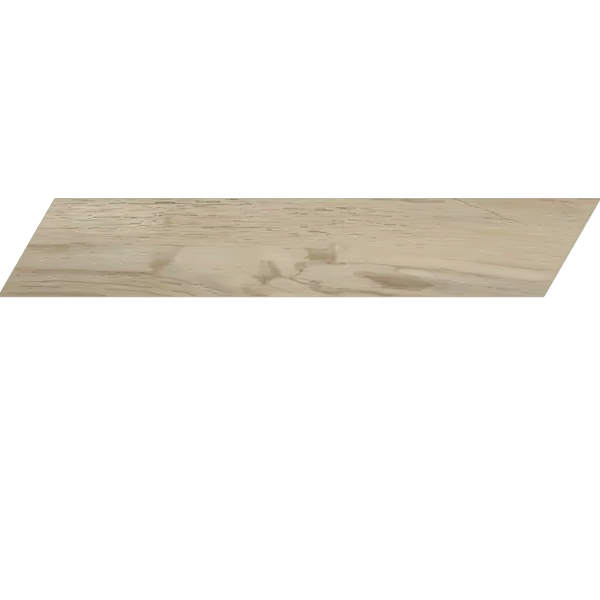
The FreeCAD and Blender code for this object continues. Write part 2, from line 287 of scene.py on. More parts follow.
# Fibres and pores along the plank, by half width: from, to, height, level
DASHES = {
    0.5: (
        (56, 76, 199, -12), (182, 194, 200.8, -12), (56, 76, 201.6, -18), (76, 88, 201.6, -12),
        (200, 220, 203.6, 12), (472, 478, 205.6, -20), (336, 344, 206.3, 12), (204, 212, 207, -14),
        (164, 175, 208.4, -18), (76, 86, 208.5, -18), (186, 191, 208.6, -12), (374, 382, 208.6, 12),
        (87, 96, 211.5, -22), (244, 248, 211.5, -18), (108, 116, 214.5, -20), (66, 72, 217.3, -14),
        (124, 132, 219.6, -16), (92, 100, 220.2, -14), (336, 345, 220.8, -16), (64, 72, 221.4, -16),
        (72, 80, 221.5, 20), (348, 356, 221.5, 18), (508, 512, 221.5, 12), (492, 500, 221.6, 14),
        (204, 212, 222.5, -16), (336, 344, 223.5, -22), (368, 376, 224.4, 14),
        (108, 116, 224.5, -12), (311, 324, 225, -12), (366, 376, 225.5, -26),
        (496, 500, 225.5, -24), (130, 137, 225.6, 20), (145, 152, 225.6, -18), (72, 80, 226.5, 24),
        (376, 384, 226.5, -14), (404, 409, 226.5, -16), (388, 392, 226.6, -18),
        (142, 145, 226.7, 16), (72, 80, 227.5, -24), (330, 336, 227.5, -18), (404, 406, 227.5, -16),
        (542, 544, 227.5, -14), (220, 222, 227.6, 12), (414, 424, 228.4, -14),
        (92, 100, 228.5, -24), (108, 117, 228.5, -18), (392, 404, 229.4, 14),
        (152, 154, 229.5, -18), (272, 280, 229.5, 20), (120, 124, 230.4, -12),
        (271, 280, 230.5, -30), (380, 390, 230.5, -14), (392, 402, 230.5, -34),
        (60, 72, 230.6, -12), (402, 404, 231.4, -24), (180, 196, 231.5, -12), (400, 404, 233, -14),
        (180, 188, 233.4, 14), (108, 112, 234.3, -12), (412, 416, 235.6, -16),
        (240, 252, 236.6, -12), (344, 348, 236.6, -16), (366, 372, 237.3, -14),
        (149, 160, 237.6, -18), (396, 404, 237.6, -22), (430, 436, 237.6, -12),
        (192, 200, 238, -14), (424, 436, 238.5, 12), (304, 308, 238.6, -16), (368, 376, 241.5, -16),
        (244, 260, 242.4, -18), (496, 504, 243.6, 14), (152, 160, 245.4, -12),
        (236, 250, 246.4, -16), (76, 84, 253, -12), (120, 132, 253.6, -14), (80, 84, 257.5, -18),
        (44, 48, 258.8, 12), (260, 264, 260.7, -20), (260, 264, 262.4, -20), (136, 140, 274.6, 12),
        (28, 42, 275.4, -12), (348, 354, 276.5, -14), (344, 350, 277.3, -16),
        (444, 449, 281.3, -12), (508, 512, 284, -14), (508, 512, 285.4, -14),
        (484, 488, 286.6, -14),
    ),
    0.6: (
        (404, 428, 199.4, -26), (252, 256, 200.3, 12), (176, 182, 200.4, -28), (88, 96, 200.5, -26),
        (116, 120, 200.5, -20), (308, 316, 200.7, -12), (240, 248, 201.4, -32),
        (228, 240, 201.5, -22), (556, 566, 201.6, -14), (588, 594, 202.4, -12),
        (90, 95, 202.5, -18), (194, 204, 204.3, -28), (192, 194, 204.5, -32),
        (297, 300, 204.6, -16), (140, 150, 204.9, -14), (232, 241, 205, -32), (300, 308, 206, -16),
        (194, 204, 206.5, -28), (76, 86, 207.3, 11), (71, 76, 207.4, 10), (114, 120, 207.4, 8),
        (160, 164, 207.5, -24), (212, 216, 207.5, -32), (240, 242, 208.4, -24),
        (112, 125, 208.5, -22), (180, 186, 208.5, -34), (248, 250, 208.6, 14),
        (340, 346, 208.7, -36), (436, 444, 209, -12), (68, 80, 209.4, -30), (298, 305, 209.4, -24),
        (174, 176, 209.5, 14), (250, 252, 209.6, -16), (105, 112, 209.7, -16), (373, 376, 210, -26),
        (376, 382, 210, -16), (335, 348, 210.2, 12), (240, 242, 210.3, -24), (168, 174, 210.4, -28),
        (56, 60, 210.5, -20), (72, 80, 210.5, 9), (348, 351, 210.5, -30), (268, 276, 211.5, -16),
        (382, 394, 211.5, -26), (340, 352, 212.9, -24), (348, 354, 213.5, -28),
        (360, 368, 213.5, -22), (384, 392, 213.5, -14), (122, 125, 213.8, 12),
        (360, 363, 214.4, 14), (128, 140, 214.5, -12), (164, 176, 214.5, -22),
        (264, 268, 214.5, -18), (358, 360, 214.5, -26), (368, 372, 214.6, -26),
        (60, 68, 214.8, -16), (376, 382, 215.3, -22), (191, 197, 215.4, -30),
        (352, 358, 215.4, -26), (548, 552, 215.4, 14), (184, 192, 215.5, -20),
        (400, 404, 215.6, -20), (211, 216, 216.4, -26), (176, 180, 216.5, 20),
        (187, 189, 216.5, 12), (296, 300, 216.5, -24), (404, 410, 216.5, -30),
        (340, 348, 217.3, -14), (124, 136, 217.5, -28), (130, 134, 218, -24), (44, 54, 218.4, -24),
        (64, 70, 218.5, -20), (88, 92, 218.5, -28), (132, 137, 218.5, -26), (212, 216, 219, -14),
        (348, 350, 219.3, -26), (248, 250, 219.5, -20), (332, 336, 220.5, -46),
        (233, 240, 220.6, -34), (356, 362, 220.6, -28), (444, 456, 220.6, -14),
        (366, 370, 221, -24), (240, 260, 221.3, -20), (94, 106, 221.5, -20), (340, 344, 221.5, -28),
        (260, 280, 221.9, -22), (369, 373, 222.5, -36), (232, 234, 222.6, 16),
        (142, 144, 223.4, 18), (332, 336, 223.4, -40), (376, 380, 223.5, -42),
        (180, 200, 224.5, -34), (236, 240, 224.5, -28), (384, 396, 224.5, -46),
        (436, 440, 224.5, -20), (328, 336, 224.6, -34), (156, 158, 225.3, -26),
        (538, 542, 225.4, -20), (400, 407, 225.5, -42), (309, 311, 226, -20), (64, 68, 226.4, -20),
        (192, 196, 226.4, -24), (228, 232, 226.6, -32), (213, 220, 226.8, -30),
        (92, 100, 227.4, -34), (232, 238, 227.4, -18), (152, 166, 227.5, -28),
        (240, 248, 227.5, -28), (248, 257, 227.5, -38), (257, 264, 227.5, -24),
        (336, 338, 227.5, -24), (340, 344, 227.5, -38), (140, 142, 227.6, -30),
        (308, 309, 228.4, 12), (380, 392, 228.5, 20), (72, 77, 228.6, -24), (424, 428, 228.6, -20),
        (188, 192, 229.5, -16), (232, 236, 229.5, -24), (284, 288, 229.5, 22),
        (416, 420, 229.5, 18), (268, 270, 231.5, 16), (412, 416, 231.5, 14), (288, 296, 232.4, 12),
        (356, 362, 232.5, 18), (288, 298, 233.3, -20), (346, 352, 233.5, 16), (528, 532, 233.5, 15),
        (248, 252, 233.6, 12), (404, 412, 233.6, -34), (420, 424, 234, -14), (440, 444, 234, 12),
        (148, 152, 234.3, -14), (184, 200, 234.4, -30), (532, 552, 234.4, 12),
        (104, 108, 234.5, -28), (264, 266, 234.5, 14), (100, 104, 234.6, -20),
        (346, 352, 234.6, -18), (420, 422, 235.5, 20), (532, 536, 235.5, -14),
        (288, 300, 236.5, -24), (440, 452, 236.5, -12), (476, 480, 236.6, 10),
        (548, 552, 237.5, 12), (372, 376, 237.6, -36), (200, 202, 238.4, -24),
        (396, 404, 238.5, 16), (120, 122, 239.3, -30), (112, 116, 239.4, -26),
        (140, 148, 239.4, 12), (244, 252, 239.5, -26), (308, 314, 239.5, -18),
        (354, 357, 239.5, -22), (436, 440, 239.5, 16), (548, 552, 239.5, 12),
        (428, 432, 240.5, -20), (40, 44, 241.4, 12), (136, 140, 241.4, -24), (500, 504, 241.4, 14),
        (205, 212, 241.6, -14), (300, 304, 241.6, -12), (168, 180, 242.4, -20),
        (368, 380, 242.5, 9), (456, 460, 242.5, 12), (124, 132, 244.5, -24), (416, 424, 244.6, -18),
        (82, 108, 245.4, -18), (140, 148, 245.4, -14), (124, 132, 246, 12), (500, 504, 247.4, -12),
        (416, 423, 247.5, -16), (44, 52, 248.5, 12), (344, 348, 248.7, -12), (140, 148, 252.5, -20),
        (124, 132, 254.6, 11), (80, 88, 258.6, 12), (136, 140, 259.2, -18), (32, 36, 259.3, 14),
        (120, 122, 260.4, -16), (360, 364, 260.4, 14), (40, 44, 260.5, 14), (377, 380, 260.5, 12),
        (311, 322, 262.5, -14), (136, 140, 263.3, -14), (541, 546, 263.5, 12), (48, 52, 265.5, 12),
        (440, 446, 268.4, -20), (16, 21, 269.7, -22), (188, 192, 270.8, 14), (108, 118, 274.4, -26),
        (260, 264, 274.5, -20), (56, 62, 275.5, 12), (92, 95, 275.5, -20), (128, 140, 275.5, -22),
        (116, 120, 275.6, 18), (48, 52, 276.5, 14), (88, 100, 276.6, 12), (108, 116, 277.3, -20),
        (88, 98, 278, -14), (437, 452, 280.2, -20), (132, 136, 281.3, -20), (374, 377, 281.5, -16),
        (452, 454, 281.8, -20), (20, 44, 282.5, 12), (460, 463, 283.7, -18), (320, 330, 284.5, 14),
        (240, 256, 284.9, -14), (302, 307, 287.7, -18), (28, 33, 288.3, -20), (217, 221, 288.4, 16),
        (200, 207, 288.6, 16), (445, 448, 292.6, -18),
    ),
    0.7: (
        (126, 136, 199.5, -18), (300, 302, 199.5, -26), (64, 76, 203.5, -28), (76, 88, 203.5, -36),
        (109, 120, 203.5, -48), (128, 150, 203.5, -42), (282, 292, 203.5, -18),
        (462.5, 464, 203.5, 28), (181, 192, 203.6, -34), (472, 477, 203.6, 14),
        (150, 157, 203.8, -34), (204, 232, 204.6, -34), (254, 256, 204.6, -24), (57, 72, 205, -20),
        (72, 88, 205.5, -20), (176, 184, 206.4, -34), (472, 474, 206.7, 26), (157, 160, 207.3, -40),
        (367, 372, 209.3, -32), (323, 326, 209.4, -32), (260, 280, 209.5, -28),
        (325, 333, 210.4, -48), (484, 488, 210.4, -38), (100, 105, 210.5, -30),
        (484, 488, 211.6, 16), (120, 124, 212.5, -34), (152, 156, 213.5, -32),
        (354, 356, 213.5, -52), (300, 308, 214.4, -28), (124, 128, 214.5, -40),
        (492, 494, 215.3, 16), (56, 60, 215.4, -34), (46, 48, 215.5, 12), (88, 92, 215.6, -38),
        (250, 260, 216.5, -30), (568, 572, 216.6, -28), (60, 66, 217.5, -34), (568, 577, 218.4, 12),
        (386, 390, 219.5, 8), (389, 400, 219.5, -14), (348, 356, 220.3, -46), (76, 92, 220.4, -30),
        (140, 143, 221.5, -38), (508, 512.5, 222.6, -27), (188, 196, 222.8, -22),
        (130, 141, 223.5, -38), (152, 155, 223.5, 22), (348, 356, 223.5, -16),
        (508, 511, 223.8, 16), (116, 132, 224.4, -24), (158, 164, 224.4, -38),
        (300, 308, 224.9, -20), (138, 142, 225.5, -44), (142, 145, 225.5, -46),
        (164, 180, 226.5, -16), (220, 228, 226.5, -44), (538, 541, 226.6, 18), (484, 505, 228, 10),
        (100, 108, 228.3, -32), (37, 64, 228.4, -28), (64, 72, 228.5, -36), (568, 572, 228.5, -12),
        (118, 120, 229.4, 20), (128, 132, 229.5, 18), (155, 157, 229.5, 24), (76, 78, 231.4, 20),
        (352, 361, 234.3, -26), (564, 568, 234.4, -13), (200, 203, 234.5, -36),
        (292, 300, 234.5, -20), (464, 468, 235.6, 14), (116, 122, 236.4, -22),
        (354, 356, 236.5, 24), (444, 464, 239, 12), (516, 528, 240.6, -9), (160, 176, 245.2, -32),
        (368, 380, 245.2, 6), (396, 404, 245.4, -22), (536, 546, 253, -12), (140, 148, 254.4, 14),
        (90, 95, 255.3, 10), (530, 538, 255.5, 10), (44, 48, 257.5, -22), (553, 560, 258, 12),
        (62, 70, 258.5, -22), (516, 524, 259.2, -14), (524, 532, 259.5, -14), (92, 96, 263.5, 18),
        (480, 492, 263.5, -7), (170, 173, 264.5, -22), (236, 240, 265, 14), (60, 65, 265.5, 14),
        (237, 239, 267.3, -20), (212, 222, 269.4, -19), (188, 192, 269.7, -18),
        (76, 84, 270.5, -12), (124, 128, 272.5, -18), (460, 472, 273.3, -12),
        (100, 104, 275.5, -22), (120, 132, 277.5, 14), (140, 148, 278.5, -22),
        (488, 492, 278.6, 14), (165, 172, 279.8, 12), (452, 454, 280.3, 16), (172, 183, 281.2, 8),
        (530, 536, 282, -12), (453, 454, 283.4, 16), (293, 297, 283.5, 14), (28, 30, 284.5, 20),
        (484, 488, 285.3, 14), (140, 151, 285.4, 18), (388, 392, 285.4, -16), (372, 380, 285.6, 13),
        (80, 84, 286.4, 14), (324, 336, 288.4, -20), (204, 211, 291.3, -22), (213, 218, 291.4, 16),
        (304, 313, 291.5, 12), (216, 232, 295.4, -18),
    ),
    0.8: (
        (226, 232, 199.3, -26), (552, 554, 201.3, -22), (552, 554, 203.4, -26), (68, 71, 204.6, 34),
        (88, 100, 205.6, -32), (53, 57, 205.8, -24), (253, 255, 207, -28), (68.5, 71, 207.2, -34),
        (336, 345, 207.7, -34), (283, 298, 208.5, -30), (360, 368, 208.6, -28), (88, 94, 212.6, 22),
        (156, 159, 213, -34), (284, 296, 213.6, -27), (496, 499, 214, -13), (432, 436, 216.5, -16),
        (388, 392, 216.6, -42), (244, 252, 217.2, -28), (260, 268, 217.3, -14),
        (196, 208, 217.4, -12), (444, 452, 217.4, -11), (500, 503, 219.4, -28),
        (234, 236, 222, -18), (256, 266, 224.3, -12), (582.5, 583.5, 225, -26),
        (202, 213, 227.4, -44), (319, 322, 229, -24), (267, 271, 230, -34), (309, 320, 231.4, -42),
        (240, 250, 231.7, -24), (70, 85, 243.4, -22), (224, 233, 244.6, 12), (516, 535, 247.5, 8),
        (124, 132, 249.7, 10), (481, 484, 251, 12), (486, 493, 252.5, 8), (496, 500, 254, 12),
        (260, 264, 255, -6), (486, 492, 255, -8), (304, 308, 258.3, -26), (330, 335, 260.3, -10),
        (237, 240, 261, 10), (136, 140, 261.3, 12), (540, 549, 261.8, -12), (340, 344, 263.4, -14),
        (175.5, 176, 267.3, -22), (512, 516, 267.4, -12), (146, 152, 269.5, 14),
        (172, 176, 269.7, 14), (36, 76, 270, -9), (303, 310, 270.8, -10), (96, 108, 271.7, -8),
        (32, 36, 272.3, -24), (116, 120, 272.5, -20), (16, 20, 275.3, -24), (484, 500, 275.4, -10),
        (461, 468, 275.5, -10), (288, 296, 275.6, -25), (272, 284, 276.5, -8),
        (361, 364, 277.5, -18), (52, 58, 278.3, 12), (310, 316, 281.3, -34), (480, 488, 283, 13),
        (380, 384, 284.4, -18), (194, 197, 284.6, -26), (468, 472, 285.6, -12),
        (140, 146, 286.5, -20), (509, 512, 286.6, 14), (325, 332, 286.9, -26),
        (378, 384, 287.2, -16), (205, 208, 287.5, -28), (252, 262, 287.5, 12),
        (488, 492, 287.5, -30), (340, 350, 288.6, -18), (8, 12, 292.8, -14), (490, 500, 293.6, -11),
        (100, 105, 295.6, -14), (488, 524, 295.6, -12), (400, 440, 295.8, -7),
    ),
    0.9: (
        (152, 172, 199.3, -18), (231, 238, 199.4, -46), (72, 88, 200, -32), (392, 402, 200.3, -14),
        (174, 181, 203.4, -42), (536, 540, 211, -9), (492, 494, 212.6, -26), (296, 298, 213, -34),
        (209, 216, 213.2, -16), (382, 388, 216.4, -28), (144, 152, 217.2, -22),
        (492, 500, 219, -14), (508, 514, 219.7, -11), (152.5, 156, 220.5, -50),
        (266, 280, 228.2, -34), (88, 92, 228.4, -50), (212, 220, 229.8, -20), (330, 348, 230, 8),
        (139, 149, 237.3, -30), (224, 238, 241.6, -20), (544, 548, 242, -8), (284, 291, 248.6, -20),
        (324, 328, 249.4, -20), (90, 93, 252.5, -22), (120, 122, 263.4, 20), (460, 464, 282.3, 22),
        (40, 60, 283.9, 10), (172, 180, 291.3, -12), (256, 262, 294.3, -12), (250, 268, 295.3, -20),
        (384, 391, 295.8, -12),
    ),
    0.95: ((93, 120, 217.2, -46),),
    1: (
        (246, 249, 202.9, -24), (159, 163, 212.7, -48), (548, 552, 213.6, -13),
        (589, 590, 215, -28), (190, 212, 236.1, 14), (560, 564, 239.5, -8), (140, 144, 272.8, -30),
        (197, 203, 284.7, -14),
    ),
    1.1: (
        (200, 204, 201.2, -28), (154, 157, 215.5, -54), (208, 216, 215.5, -36),
        (300, 308, 226.8, -38), (336, 340, 288.8, -28),
    ),
    1.2: (
        (195, 199, 201, -32), (204, 207, 202.2, -36), (196, 199, 202.3, -36),
        (200, 204, 202.5, -32), (120, 126, 202.9, -44), (57, 64, 212.7, -14),
        (159, 162, 215.5, -76), (552, 556, 231.3, -9), (156, 164, 253.8, -8),
        (490, 500, 278.2, -10),
    ),
    1.3: ((578, 599, 199.2, -20), (372, 392, 199.6, -18), (240, 252, 204.2, -34)),
    1.4: ((484, 492, 218, -16),),
    1.5: ((392, 404, 212, -10),),
    1.6: ((70, 78, 290, 6),),
    1.7: ((345, 356, 208.4, -19),),
    1.8: (
        (540, 556, 200.2, -17), (207, 220, 202, -42), (156, 174, 203, -52), (568, 577, 221, -10),
    ),
    2: ((318, 326, 240.5, -9), (320, 324, 286.3, -20)),
    2.6: ((316, 324, 209.5, -22),),
}

# Fibres at a slant, by half width: from, to, level
STROKES = {
    0.5: ((188, 246.3, 204, 246, -22), (291, 278.3, 300, 280.6, 14)),
    0.6: (
        (456, 202, 463, 203.4, 14), (100, 205.4, 106, 204.4, -26), (184, 206, 187, 204.8, -18),
        (184, 211.5, 192, 213.3, -18), (314, 212.6, 318, 214.4, -18), (92, 216, 96, 214.6, 14),
        (68, 218.5, 72, 219.6, -22), (421.5, 223, 421.5, 228, 14), (361, 234.5, 364, 235.8, -14),
        (328, 236.5, 332, 238.2, -18), (546, 255, 552, 255.5, -12), (552, 256.6, 562, 256.9, -20),
        (310, 260.5, 316, 261.5, -12), (240, 266, 244, 272, -12), (300, 281, 309, 281.6, 14),
        (380, 282.8, 385, 282.4, 14), (380, 284.9, 384, 284.4, 12), (93, 286, 95, 287.5, 12),
        (152, 288.3, 160, 289, 12),
    ),
    0.7: (
        (565, 203.5, 576, 207.6, 12), (39.5, 229, 39.3, 232, 12), (326, 233, 326.5, 235, -30),
        (326, 235.5, 328, 235.8, -34), (404, 239, 412, 241, 12), (412, 241, 416, 243, 12),
        (524, 251.3, 535, 252.5, -10), (40, 252.2, 58, 252.6, -12), (305, 257, 308, 256.2, -12),
        (174.5, 264, 174.5, 268, 14), (244, 272, 250, 273.5, -10), (371, 283.8, 376, 284.5, -14),
        (364, 285.5, 372, 286.5, 8), (195, 286.2, 204, 286.8, 16), (371, 287, 378, 287.6, -16),
        (384, 290.2, 392, 291.5, 10), (405, 292.8, 414, 293.2, 10), (450, 293, 464, 294, -10),
    ),
    0.8: (
        (562, 204, 573, 208.6, -14), (336.5, 245, 337, 248, 24), (54, 245.3, 68, 244.9, -18),
        (176, 245.4, 188, 246.4, -30), (336, 249.5, 337, 252, 12), (336, 253.5, 338, 256.5, -14),
        (520, 268, 532, 268.5, -14), (532, 269.6, 544, 270, -12), (253, 276, 260, 276.4, -6),
        (112, 286.6, 128, 287.4, 12), (308, 287.5, 311, 287, -28), (216, 288.9, 222, 290, -18),
        (404, 289.8, 413, 290.6, -16), (312, 290.5, 320, 291.5, -18), (413, 290.8, 421, 290.4, -16),
        (212, 293.3, 216, 293.8, -24),
    ),
    0.9: (
        (142, 206.2, 151, 207.6, -30), (562, 212, 568, 216, -18), (510, 220, 517, 220.6, -10),
        (327.5, 234.5, 330, 233.5, -36), (332.5, 256, 333, 260, -18),
        (370.5, 271.8, 371, 272.5, -18), (354, 273, 355, 276.5, -10), (371, 279, 378, 281.4, -12),
        (392, 288.6, 404, 289.2, -18), (521, 292.6, 536, 293.7, -10), (190, 294.7, 196, 295.6, -14),
    ),
    1: (
        (163.3, 213, 163.7, 215.6, -24), (320, 232.2, 327, 232.6, -46),
        (267, 261.5, 270, 263.5, -8), (399, 270.5, 402, 271.5, 14), (144, 273.4, 152, 274.5, -18),
        (388, 284, 400, 286.5, -10), (243, 292, 252, 293.5, -7),
    ),
    1.1: (
        (296, 274.6, 300, 274.3, -34), (290, 276, 300, 278.5, -14), (364, 276.5, 369, 276.8, -19),
        (320, 292, 332, 293.6, -18),
    ),
    1.2: (
        (187.5, 205, 190, 207.5, 10), (27, 245.8, 36, 245.2, -9), (269, 264, 273, 269, -5),
        (269, 276.5, 270, 280, -10), (300, 278.5, 309, 280.3, -14), (400, 285, 420, 286.5, -8),
        (496, 288.4, 508, 290.3, -12), (60, 295, 85, 295.3, -10),
    ),
    1.3: (
        (304, 248.4, 310, 249.2, -5), (422, 286, 434, 285.7, -5), (380, 294.5, 400, 295, -14),
    ),
    1.4: ((300, 272.5, 302, 269.8, -30), (264, 277, 264.5, 284, -12)),
    1.6: (
        (560, 201, 573, 202.8, -13), (369, 277.3, 382, 277.8, -7), (243, 288.5, 250, 290.5, -4),
    ),
    1.8: (
        (378, 280.6, 388, 282.6, -9), (160, 281.8, 181, 284.3, -17), (510, 289.5, 520, 290, -10),
    ),
    2: ((516, 221, 528, 226, -6),),
    2.4: ((282, 277.3, 296, 279.3, -9),),
}

# Long lines: points, half width, level
LONG_LINES = (
    # lower left
    (((20, 281.6), (44, 281.5), (47, 281), (62, 281), (84, 282.2)), 0.65, -32),
    (((84, 282.3), (90, 282.6), (100, 283.2), (110, 283.6)), 0.7, -26),
    (((110, 283.6), (116, 284.1), (124, 285), (138, 286), (146, 286.6), (152, 287.5)), 0.65, -26),
    (((152, 288), (160, 288.6), (164, 290), (172, 290.4)), 0.6, -16),
    (((172, 290.8), (180, 291.6), (186, 293), (190, 294.4), (196, 296.3)), 0.9, -24),
    (((20, 286.5), (44, 286.5), (48, 287), (60, 287.3)), 0.7, -28),
    (((104, 289), (120, 289.6), (136, 290.8), (148, 291.4), (153, 293.4), (160, 294.8),
      (172, 296.3)), 1.2, -16),
    # a fan of lines that runs out at the bottom
    (((150, 277), (164, 277), (172, 278.2), (180, 280.3)), 1.0, -14),
    (((180, 280.3), (186, 281.3), (191, 284), (197, 284.8)), 0.8, -16),
    (((200, 285.6), (212, 288), (224, 291.4)), 0.7, -14),
    (((222, 291.6), (232, 293.4)), 0.6, -16),
    # from the comma-shaped knot to the bottom edge
    (((281, 276.8), (291, 278.4)), 1.7, -11),
    (((291, 278.6), (294, 280), (298, 281.8), (304, 283.6), (310, 284.5)), 2.5, -21),
    (((268, 283.5), (271, 286.7), (276, 287.9), (280, 288.9), (285, 291), (293, 292.8)), 1.2, -13),
    (((360, 291.7), (376, 293), (381, 294.8), (392, 295.4)), 1.8, -9),
    # the upper of the two long lines on the right
    (((440, 258.6), (448, 259.2), (456, 259.7), (472, 260.7)), 0.8, -12),
    (((474, 261.5), (484, 262.6), (492, 264), (503, 265.8), (512, 266.4)), 0.8, -8),
    (((512, 267), (532, 268.8), (545, 270), (556, 270.3)), 0.7, -6),
    # and the lower one, from the broken knot
    (((328, 263.5), (337, 264.1), (344, 263.7)), 3.1, -21),
    (((344, 263.5), (360, 263.4)), 1.8, -13),
    (((360, 263.4), (372, 263.5), (380, 264.6)), 0.7, -16),
    (((380, 264.9), (388, 265.4), (400, 266.4)), 0.9, -24),
    (((400, 266.6), (410, 267.2)), 1.0, -16),
    (((396, 268.4), (424, 268.7)), 0.8, -18),
    (((424, 270), (440, 271)), 1.2, -10),
    (((445, 269.2), (450, 270), (456, 270.8)), 0.6, -30),
    (((457, 272.5), (472, 273.4)), 1.2, -6),
    (((472, 274.2), (478, 275.2), (484, 276)), 1.5, -11),
    (((520, 280.2), (530, 281.6), (552, 281)), 1.0, -6),
    # a reddish line at the top
    (((401, 199.7), (412, 201.2), (424, 201.9), (444, 201.5)), 2.3, -19),
    # a crack across the grain
    (((452, 198.4), (460, 200.6), (467, 203.4)), 0.6, -36),
    (((466, 204), (472, 206.2), (480, 208.2)), 0.6, -26),
    (((472, 201.8), (480, 203.9), (484, 206.6), (487, 209)), 1.0, -12),
    (((478, 207), (484, 209.6)), 0.6, -22),
    (((486, 210.4), (494, 213), (500, 216.2), (508, 220.2)), 1.0, -20),
)

# Where the scattered fibres are thick on the ground: centre, reach along and across, turn, weight
BUSY = (
    (90, 212, 90, 18, 0, 0.85), (200, 216, 100, 20, 0, 0.8), (320, 213, 80, 17, 0, 0.55),
    (150, 236, 130, 10, 0, 0.35), (290, 236, 100, 7, 0, 0.2), (60, 258, 70, 10, 0, 0.35),
    (60, 286, 90, 12, 4, 0.45), (150, 285, 50, 10, 8, 0.35), (420, 218, 60, 14, 2, 0.15),
    (520, 225, 80, 22, 5, 0.1), (490, 287, 80, 9, 4, 0.15),
)

# ---- How it is laid down, in pixels and levels ----

# Level, redness and yellowness where nothing else is laid down
GROUND = (6.5, 0.0, 2.3)

# Noises, each a sum of: strength, and length and width of its cells along the grain. They shift
# the washes and patches, make fibres wavy and uneven, fray the patches and let the tints wander.
SHIFT_ALONG = ((3.0, 22, 1.3), (2.0, 9, 2.5))
SHIFT_ACROSS = ((0.5, 14, 3.0), (0.3, 5, 1.5))
WAVES = ((0.25, 10, 2.0),)
BEADS = ((0.3, 6, 0.8),)
FRAYS = ((0.5, 10, 0.8),)
TINTS = ((1.8, 16, 7), (1.8, 9, 4))

# Grain lines: the step at which they are sampled, how far they run on beyond the picture, and how
# many steps to each side they are smoothed over
GRAIN_STEP = 2.0
GRAIN_BEYOND = 20
GRAIN_SMOOTHING = 15

# How far out a shape is worked out: patches in pixels beyond twice their softness, bands in their
# own reaches, and lines in their half widths
PATCH_MARGIN = 2
BAND_MARGIN = 3
LINE_MARGIN = 4

# Over which length a band fades at its ends
BAND_FADE = 10.0

# Lines: the reach of the thinnest, what their half width adds to it, their strength, and the
# fainter lines of the other sign at their sides, whose place is counted in reaches
LEAST_REACH = 0.2
REACH_BY_WIDTH = 0.45
LINE_STRENGTH = 1.25
HALO = 0.2
HALO_PLACE = 2.1

# Scattered fibres: how many, and the least of half their length, their reach and their strength,
# with how much more the longest, widest and strongest have
SCATTER = 2400
SCATTER_HALF = (4, 16)
SCATTER_REACH = (0.25, 0.2)
SCATTER_STRENGTH = (0.3, 1.0)

# The share of them that is dark, the levels of the dark and the light ones, the faintest that are
# laid down, how far up or down one may wander, and how steeply its ends fade
SCATTER_DARK = 0.75
DARK_FIBRE = -20
LIGHT_FIBRE = 9
FAINTEST = 2
SCATTER_WANDER = 6
SCATTER_FADE = 3

# How busy the quietest places are
LEAST_BUSY = 0.1

# Noise of the grain: length, width, strength, and the share of it that quiet places keep
GRAIN_SCALES = (
    (34, 0.9, 7.0, 0.35),
    (15, 0.7, 5.0, 0.2),
    (70, 3.0, 4.0, 0.5),
    (40, 8.0, 2.0, 1.0),
)

# How strong its light side is against its dark one
GRAIN_LIGHT = 0.5

# Edges of the face: line, reach, level, redness, yellowness
EDGE_LINES = (
    (((54, 198), (601, 198)), 1.2, -16, -3, 3),
    (((54, 200), (490, 200)), 1.8, -1, -4, -1),
    (((-3, 297), (544, 297)), 0.9, 8, 0, -3),
    (((601, 198), (544, 297)), 2.4, -5, -4, -2),
    (((54, 198), (-3, 297)), 2.6, -5, -3, -4),
)

# Relief: how deep a level of the fibres and one of the shapes goes, and between which levels
FIBRE_RELIEF = 0.0028 * MM
SHAPE_RELIEF = 0.0012 * MM
FIBRE_RANGE = (-60, 12)
SHAPE_RANGE = (-60, 0)

# Points of the CAD node's mesh closer than this are one, and this near to a plane they lie on it
MERGED = 0.001 * MM
NEAR = 0.01 * MM


# ---- Fields over the face ----


def smooth(value):
    """Eases from 0 to 1, and stays level beyond both."""
    value = np.clip(value, 0, 1)
    return value * value * (3 - 2 * value)


def bell(value):
    """Soft weight, 1 at 0 and next to nothing beyond 2 to either side."""
    return np.exp(-(value**2))


def ellipse(x, y, centre_x, centre_y, along, across, turn):
    """Soft weight of an ellipse, 1 in its middle; its turn is in degrees, clockwise."""
    angle = math.radians(turn)
    dx, dy = x - centre_x, y - centre_y
    u = (dx * math.cos(angle) + dy * math.sin(angle)) / along
    v = (dy * math.cos(angle) - dx * math.sin(angle)) / across
    return bell(np.hypot(u, v))


def line_distance(x, y, points):
    """Distance to a line through the points."""
    nearest = np.full(x.shape, np.inf)
    for (x0, y0), (x1, y1) in zip(points, points[1:]):
        dx, dy = x1 - x0, y1 - y0
        place = np.clip(((x - x0) * dx + (y - y0) * dy) / (dx * dx + dy * dy), 0, 1)
        nearest = np.minimum(nearest, np.hypot(x - x0 - place * dx, y - y0 - place * dy))
    return nearest


def inside(x, y, outline):
    """True for the places within a closed outline."""
    within = np.zeros(x.shape, bool)
    for (x0, y0), (x1, y1) in zip(outline, outline[1:] + outline[:1]):
        if y0 != y1:
            crosses = (y0 > y) != (y1 > y)
            within ^= crosses & (x < x0 + (y - y0) / (y1 - y0) * (x1 - x0))
    return within


def value_noise(rng, along, across, length, width):
    """Smooth random field from -1 to 1, in cells of that length along and width across."""
    u, v = along / length, across / width
    u, v = u - u.min(), v - v.min()
    lattice = rng.uniform(-1, 1, (int(u.max()) + 2, int(v.max()) + 2))
    i, j = u.astype(int), v.astype(int)
    s, t = smooth(u - i), smooth(v - j)
    low = lattice[i, j] * (1 - s) + lattice[i + 1, j] * s
    high = lattice[i, j + 1] * (1 - s) + lattice[i + 1, j + 1] * s
    return low * (1 - t) + high * t


